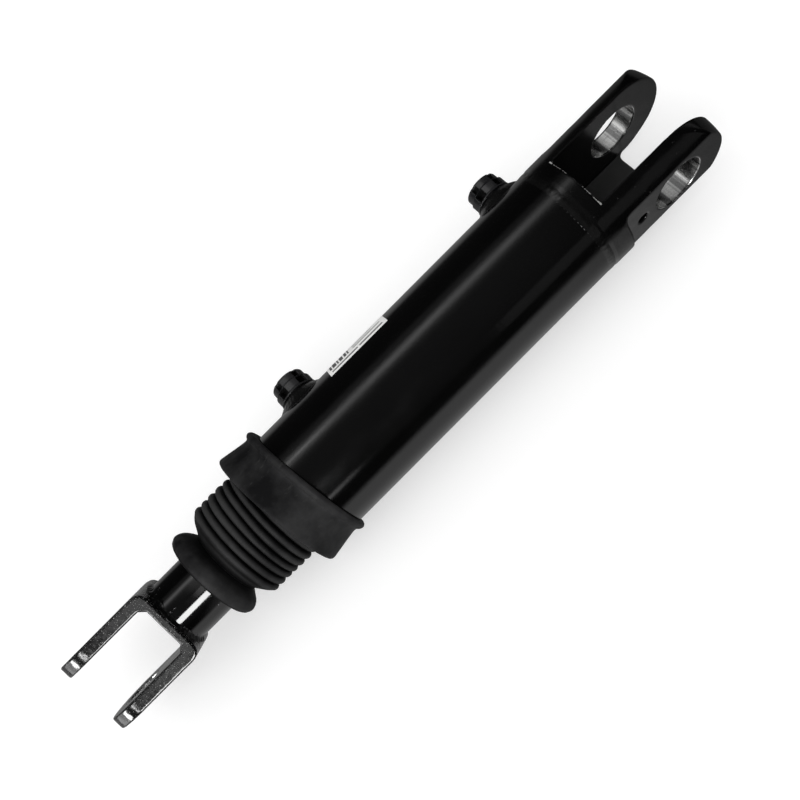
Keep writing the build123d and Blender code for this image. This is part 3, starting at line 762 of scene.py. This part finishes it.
def make_label():
    """A thin film lapped onto the barrel, with printed bars."""
    columns, rows = 180, 84
    start, end = label_low[0], label_high[0]
    low_angle = math.atan2(label_low[2], -label_low[1]) + 0.002
    high_angle = math.atan2(label_high[2], -label_high[1])
    u = np.linspace(0, 1, columns)[:, None]
    v = np.linspace(0, 1, rows)[None, :]
    corner = np.minimum(np.minimum(u, 1 - u) * (end - start), np.minimum(v, 1 - v) * 28)
    layers = []
    for lift in (0.04, 0.22):
        pressed = 0.16 * (lift > 0.1) * np.exp(-corner / 0.4)
        r = barrel_r + lift - pressed + 0.02 * rough(u * 54, v * 28, 0 * u, 6.0)
        angle = low_angle + (high_angle - low_angle) * v + 0 * u
        x = end - (end - start) * u + 0 * v
        layers.append(np.stack([x, -r * np.cos(angle), r * np.sin(angle)], axis=-1))
    verts = np.stack(layers).reshape(-1, 3)

    def at(layer, i, j):
        return (layer * columns + i) * rows + j

    faces, is_ink = [], []
    printed = label_print((u[:-1] + u[1:]) / 2, (v[:, :-1] + v[:, 1:]) / 2)
    for i in range(columns - 1):
        for j in range(rows - 1):
            faces.append((at(1, i, j), at(1, i + 1, j), at(1, i + 1, j + 1), at(1, i, j + 1)))
            is_ink.append(int(printed[i, j]))
            faces.append((at(0, i, j), at(0, i, j + 1), at(0, i + 1, j + 1), at(0, i + 1, j)))
            is_ink.append(0)
    rim = [(i, 0) for i in range(columns)] + [(columns - 1, j) for j in range(1, rows)]
    rim += [(i, rows - 1) for i in range(columns - 2, -1, -1)] + [(0, j) for j in range(rows - 2, 0, -1)]
    for (i, j), (k, l) in zip(rim, rim[1:] + rim[:1]):
        faces.append((at(0, i, j), at(0, k, l), at(1, k, l), at(1, i, j)))
        is_ink.append(0)
    obj = new_object("nameplate_film", verts, faces)
    obj.data.polygons.foreach_set("material_index", is_ink)
    finished(obj, "barrel", "label_film", [label_film, ink], "nameplate_label")


# ---- rod and fork ----
def make_rod():
    """The chromed rod, with the turned-down end that carries the piston."""
    outline = softened([
        (rod_start, 0.0, 0), (rod_start, thread_r - 1.5), (rod_start + 1.5, thread_r), (spacer_end, thread_r),
        (spacer_end, rod_r - 1), (spacer_end + 1, rod_r), (rod_end, rod_r), (rod_end, 0.0, 0),
    ], 0.3, 3)
    outline = [(x, max(r, 0.01)) for x, r in outline]
    obj = turned("chromed_rod", outline, 384)
    finished(obj, "rod", "chrome_rod", [rod_chrome], "piston_rod")


def make_rod_weld():
    """A ropy fillet where the rod meets the fork, with spatter."""
    leg = 3.0
    steps = np.linspace(0, 1, 9)
    outline = [(-leg * 1.15 * (1 - t), leg * t - 0.9 * math.sin(math.pi * t)) for t in steps]
    outline += [(0.2, leg), (0.2, -1.0), (-leg * 1.15, -0.6)]

    def ripple(along, lift, angle):
        proud = np.clip(lift + 0.6, 0, 1) * np.clip(-along, 0, 1)
        y = rod_r * np.cos(angle)
        z = rod_r * np.sin(angle)
        lump = 0.15 * np.cos(46 * angle + along) + 0.7 * rough(y, z, along, 3.4)
        r = rod_r + lift + proud * 0.6 * lump
        return rod_end + along - proud * 0.5 * lump, r * np.cos(angle), r * np.sin(angle)

    obj = turned("rod_weld_bead", outline, 320, ripple)
    finished(obj, "rod", "black_paint", [bead_paint], "rod_weld")


def fork_field(x, y, z):
    across = y * math.cos(fork_turn) + z * math.sin(fork_turn)
    rise = z * math.cos(fork_turn) - y * math.sin(fork_turn)
    side = np.abs(across) - fork_half_width
    back = rod_end - x
    block = both(both(side, back, 9.4), np.abs(rise) - fork_tip_r, 1.6)
    block = both(block, np.hypot(np.maximum(x - fork_pin_x, 0), rise) - fork_tip_r, 1.6)
    gap_side = np.abs(across) - fork_gap_half
    gap_back = rod_end + fork_web - x
    corner = (gap_side + gap_back + fork_gap_corner) / math.sqrt(2)
    gap = np.maximum(both(gap_side, gap_back, 1.0), corner)
    block = without(block, gap, 1.6)
    from_bore = np.hypot(x - fork_pin_x, rise) - fork_bore_r
    block = without(block, from_bore, 1.2)
    skin = 0.55 * rough(x, y, z, 2.2) + 0.3 * rough(x, y, z, 6.5)
    return block + 0.12 * skin * np.clip(from_bore - 1, 0, 1)


def make_fork():
    reach = math.hypot(fork_half_width, fork_tip_r)
    low = (rod_end, -reach, -reach)
    high = (fork_pin_x + fork_tip_r, reach, reach)
    obj = skinned("rod_fork", fork_field, low, high, 0.8)
    finished(obj, "rod", "rough_black_paint", [fork_paint], "rod_clevis")


# ---- dust boot ----
def make_collar():
    """The boot's wide end, pulled over the barrel a little askew, with a bead at its open edge."""
    back = -collar_len / 2 - 0.8
    front = collar_len / 2 + 1.3
    outside = [
        (back, 46.4, 0.6), (back, 50.4, 0.9), (back + 2.2, 52.2, 1.6), (back + 5.0, 51.2, 1.2),
        (back + 6.4, 49.2, 1.2), (back + 9.0, 48.9, 2.0), (-0.9, 49.9, 3.0), (10.0, 51.7, 3.0),
        (front, 52.7, 3.2), (front, 45.0, 1.2), (front - 2.0, 42.6, 1.0),
    ]
    inside = [(front - 5.0, 41.0, 0.5), (front - 9.5, 41.0, 0.5), (back + 1.0, 45.2, 0.3)]
    outline = softened(outside + inside, 1.0, 5)
    pulled_askew = math.tan(math.radians(collar_tilt_deg))
    slump = 1.75

    def askew(along, radius, angle):
        y = radius * np.cos(angle)
        z = radius * np.sin(angle)
        weight = np.clip((radius - 45.3) / 1.2, 0, 1) + np.clip(along / 6, 0, 1)
        weight = np.clip(weight, 0, 1)
        sag = 0.5 * rough(y, z, along, 30.0) + 0.12 * rough(y, z, along, 8.0)
        grow = 1 + weight * sag / radius
        short_side = (1 - y / 52) * (0.9 * np.clip(-along / 16, 0, 1) - 0.8 * np.clip(along / 16, 0, 1))
        return collar_mid + along - y * pulled_askew + short_side, weight * -slump + y * grow, z * grow

    obj = turned("boot_collar_skin", outline, 320, askew)
    finished(obj, "barrel", "boot_rubber", [rubber], "boot_collar")


def make_bellows():
    """Round ridges with deep, narrow grooves, then a cone down to the neck."""
    per_ridge = 14
    t = np.linspace(-0.5, 0.5, per_ridge, endpoint=False)
    swell = np.sqrt(1 - np.abs(2 * t) ** 2.4)
    outline = []
    for i in range(ridge_count):
        mid = last_ridge_x - (ridge_count - 1 - i) * ridge_pitch
        height = ridge_r - groove_r
        if i < ridge_count - 1:
            outline += list(zip(mid + t * ridge_pitch, groove_r + height * swell))
        else:
            half = t < 0.02
            outline += list(zip(mid + t[half] * ridge_pitch, groove_r + height * swell[half]))
    outline += curve_through([
        (last_ridge_x + 1.0, ridge_r - 0.3), (last_ridge_x + 4.0, 37.2), (last_ridge_x + 6.2, 34.4),
        (last_ridge_x + 9.2, 29.6), (bellows_end - 0.2, 26.6),
    ], 6)
    outline += [(bellows_end, 26.3), (bellows_end, 25.7), (bellows_end - 3.5, 26.0)]
    outline += [(last_ridge_x - 1, 32.2), (bellows_start, 32.2)]
    buckle = 1.25

    def settled(along, radius, angle):
        y = radius * np.cos(angle)
        z = radius * np.sin(angle)
        proud = np.clip((radius - 30) / 5, 0, 1)
        at = np.clip((last_ridge_x - 2.2 * ridge_pitch - along) / ridge_pitch, 0, 1)
        back = np.clip((along - bellows_start) / ridge_pitch, 0, 1)
        x = along + proud * at * back * (buckle * y / ridge_r + 0.35 * rough(y, z, along, 25.0))
        x = x - y * math.tan(cuff_lean) * np.clip((along - last_ridge_x) / (bellows_end - last_ridge_x), 0, 1)
        grow = 1 + proud * (0.35 * rough(y, z, 2 * along, 28.0) - 0.35) / radius
        towards_front = np.clip((along - bellows_start) / (last_ridge_x - bellows_start), 0, 1)
        slump = boot_offset + 0.8 * proud * towards_front
        return x, -slump * np.clip((radius - 25.6) / 3, 0, 1) + y * grow, z * grow

    obj = turned("boot_bellows_skin", outline, 320, settled)
    finished(obj, None, "boot_rubber", [rubber], "boot_bellows")
    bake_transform(obj)


def make_cuff():
    """The bulb that grips the rod: a full back, a crease near its front and a short face down to the rod."""
    outline = curve_through([
        (cuff_start, 25.8), (409.2, 30.6), (413.0, 35.4), (417.6, bulge_r), (cuff_crease_x, 36.0),
    ], 7)
    outline += curve_through([(cuff_crease_x, 36.0), (cuff_front_x - 0.6, 34.2), (cuff_front_x, 31.5),
                              (cuff_front_x, 26.6)], 5)
    outline += [(cuff_front_x - 0.4, 25.6), (cuff_front_x - 1.0, cuff_bore_r), (cuff_start, cuff_bore_r)]

    def settled(along, radius, angle):
        y = radius * np.cos(angle)
        z = radius * np.sin(angle)
        loose = np.clip((radius - cuff_bore_r - 0.2) / 6, 0, 1)
        grow = 1 + loose * 0.3 * rough(y, z, along, 30.0) / radius
        return along - y * math.tan(cuff_lean), y * grow - boot_offset * loose, z * grow

    obj = turned("boot_cuff_skin", outline, 320, settled)
    finished(obj, "boot_cuff", "boot_rubber", [rubber], "boot_cuff")


make_base_clevis()
make_base_weld()
for port, plug_turn in (("base", 29.0), ("rod", 28.0)):
    make_port_weld(port)
    make_boss(port)
    make_plug(port, plug_turn)
make_label()
make_rod()
make_rod_weld()
make_fork()
make_collar()
make_bellows()
make_cuff()


# ---- camera ----
def framed(place, x, y, z):
    """The matrix of something at place with the given axes."""
    return Matrix.Translation(place) @ Matrix((x, y, z)).transposed().to_4x4()


look_at = Vector((0.2404, 0.0051, -0.0021))
distance = 0.7693
camera_lean = math.radians(21.3)
roll = math.radians(45.07)
out = Vector((0, math.sin(camera_lean), math.cos(camera_lean)))
across = Vector((0, math.cos(camera_lean), -math.sin(camera_lean)))
right = Vector((-math.cos(roll), 0, 0)) + across * math.sin(roll)
up = out.cross(right)
camera = bpy.data.objects.new("camera", bpy.data.cameras.new("camera"))
camera.data.lens = 49.5
camera.data.sensor_width = 36.0
camera.data.clip_start = 0.01
camera.matrix_world = framed(look_at + out * distance, right, up, out)
bpy.context.scene.collection.objects.link(camera)
bpy.context.scene.camera = camera

# ---- floor and light ----
bpy.context.scene.view_settings.view_transform = "Standard"
world = bpy.data.worlds.new("studio")
world.use_nodes = True
bpy.context.scene.world = world
air = world.node_tree
# brightness of the studio as gloss sees it, against the angle about X: 0 is straight up, 90 is towards +Y
studio_bands = [
    (-180, 0.38), (-150, 0.26), (-116, 0.32), (-104, 0.03), (-50, 0.02), (-43, 0.16), (-36, 0.20),
    (-31, 0.95), (-26.5, 1.75), (-22, 1.10), (-17, 0.35), (-11, 0.15), (-5, 0.11), (45, 0.08),
    (75, 0.05), (80, 0.02), (100, 0.02), (111, 0.78), (131, 0.56), (170, 0.45), (180, 0.38),
]


def air_node(kind, inputs=None, **settings):
    made = air.nodes.new(kind)
    for key, value in settings.items():
        setattr(made, key, value)
    for key, value in (inputs or {}).items():
        if isinstance(value, bpy.types.NodeSocket):
            air.links.new(value, made.inputs[key])
        else:
            made.inputs[key].default_value = value
    return made


def air_math(kind, *values):
    return air_node("ShaderNodeMath", dict(enumerate(values)), operation=kind).outputs[0]


def air_mix(which, without_it, with_it):
    """One shader for the rays that have a property, and another for the rest."""
    return air_node("ShaderNodeMixShader", {0: ray.outputs[which], 1: without_it, 2: with_it}).outputs[0]


def background(colour, strength):
    return air_node("ShaderNodeBackground", {"Color": colour, "Strength": strength}).outputs[0]


direction = air_node("ShaderNodeSeparateXYZ", {0: air_node("ShaderNodeTexCoord").outputs["Generated"]})
about_x = air_math("ARCTAN2", direction.outputs["Y"], direction.outputs["Z"])
share_of_turn = air_math("MULTIPLY_ADD", about_x, 1 / (2 * math.pi), 0.5)
brightest = max(light for angle, light in studio_bands)
ramp = air_node("ShaderNodeValToRGB", {0: share_of_turn})
stops = ramp.color_ramp.elements
while len(stops) < len(studio_bands):
    stops.new(1.0)
for stop, (angle, light) in zip(stops, studio_bands):
    stop.position = angle / 360 + 0.5
    stop.color = (light / brightest, light / brightest, light / brightest, 1)
# the studio is darker beyond the base end
dimmer = air_node("ShaderNodeMapRange", {
    "Value": direction.outputs["X"], "From Min": -0.34, "From Max": -0.14,
    "To Min": 0.27 * brightest, "To Max": brightest,
})
ray = air_node("ShaderNodeLightPath")
room = background((1, 1, 1, 1), 0.03)
in_gloss = background(ramp.outputs["Color"], dimmer.outputs[0])
backdrop = background((0.95, 0.95, 0.95, 1), 1.0)
seen = air_mix("Is Camera Ray", air_mix("Is Glossy Ray", room, in_gloss), backdrop)
air.links.new(seen, air.nodes["World Output"].inputs["Surface"])

floor_half = 6000.0
floor_z = collar_low_z - 1.5
floor_corners = [(x * floor_half, y * floor_half, floor_z) for x, y in ((-1, -1), (1, -1), (1, 1), (-1, 1))]
floor = new_object("floor", floor_corners, [(0, 1, 2, 3)])
floor_look = Nodes("floor", (0.6, 0.6, 0.6), 0.9, Emission_Color=(1, 1, 1, 1), Emission_Strength=0.47)
floor_look.put("Base Color", floor_look.mix(floor_look.noise(3.0), (0.60, 0.60, 0.60), (0.63, 0.63, 0.63)))
floor.data.materials.append(floor_look.material)
floor.visible_glossy = False


def sun(name, from_direction, spread_deg, strength):
    """Broad light with no reflection of its own."""
    data = bpy.data.lights.new(name, "SUN")
    data.energy = strength
    data.angle = math.radians(spread_deg)
    obj = bpy.data.objects.new(name, data)
    obj.rotation_euler = Vector(from_direction).to_track_quat("Z", "Y").to_euler()
    obj.visible_glossy = False
    bpy.context.scene.collection.objects.link(obj)


sun("overhead_fill", (0, 0, 1), 150, 2.3)
sun("key", (0.6, 0.1, 0.8), 60, 1.0)


def strip(name, centre, about_x_deg, along_x, far, wide, tall, light):
    """A lamp that faces centre and shows only in gloss. Its wide side is as near along X as it goes."""
    angle = math.radians(about_x_deg)
    back = Vector((along_x, math.sin(angle), math.cos(angle))).normalized()
    side = (Vector((1, 0, 0)) - back * back.x).normalized()
    data = bpy.data.lights.new(name, "AREA")
    data.shape = "RECTANGLE"
    data.size, data.size_y = wide, tall
    data.energy = light * math.pi * wide * tall
    obj = bpy.data.objects.new(name, data)
    obj.matrix_world = framed(centre + back * far, side, back.cross(side), back)
    obj.visible_diffuse = False
    bpy.context.scene.collection.objects.link(obj)


fork_tip = Vector(((fork_pin_x + 8) * mm, 0, 0.02))
stub = Vector(((cuff_end + 12) * mm, 0, 0))
barrel_mouth = Vector(((collar_mid - 30) * mm, 0, 0))
strip("rod_box", stub, 48, 0.28, 0.7, 0.30, 0.20, 22)
strip("rod_fill", stub, -2, 0.27, 0.7, 0.18, 0.55, 0.50)
strip("rod_glow", stub, 25, 0.27, 0.7, 0.18, 0.20, 1.3)
strip("rod_low", stub, 92, 0.28, 0.7, 0.13, 0.45, 0.26)
strip("barrel_streak", barrel_mouth, 69, 0.14, 0.8, 0.12, 0.08, 1.8)
strip("barrel_line", barrel_mouth, -25, 0.14, 0.8, 0.14, 0.04, 1.2)
strip("base_glow", Vector((0.06, 0, 0)), 70, -0.28, 0.9, 0.5, 0.30, 0.14)
strip("fork_strip", fork_tip, 28, 0.54, 0.7, 0.035, 0.30, 30)
strip("tip_strip", fork_tip, 37, 2.6, 0.6, 0.10, 0.30, 26)
strip("tip_glow", fork_tip, 40, 12.0, 0.6, 0.50, 0.50, 2.0)
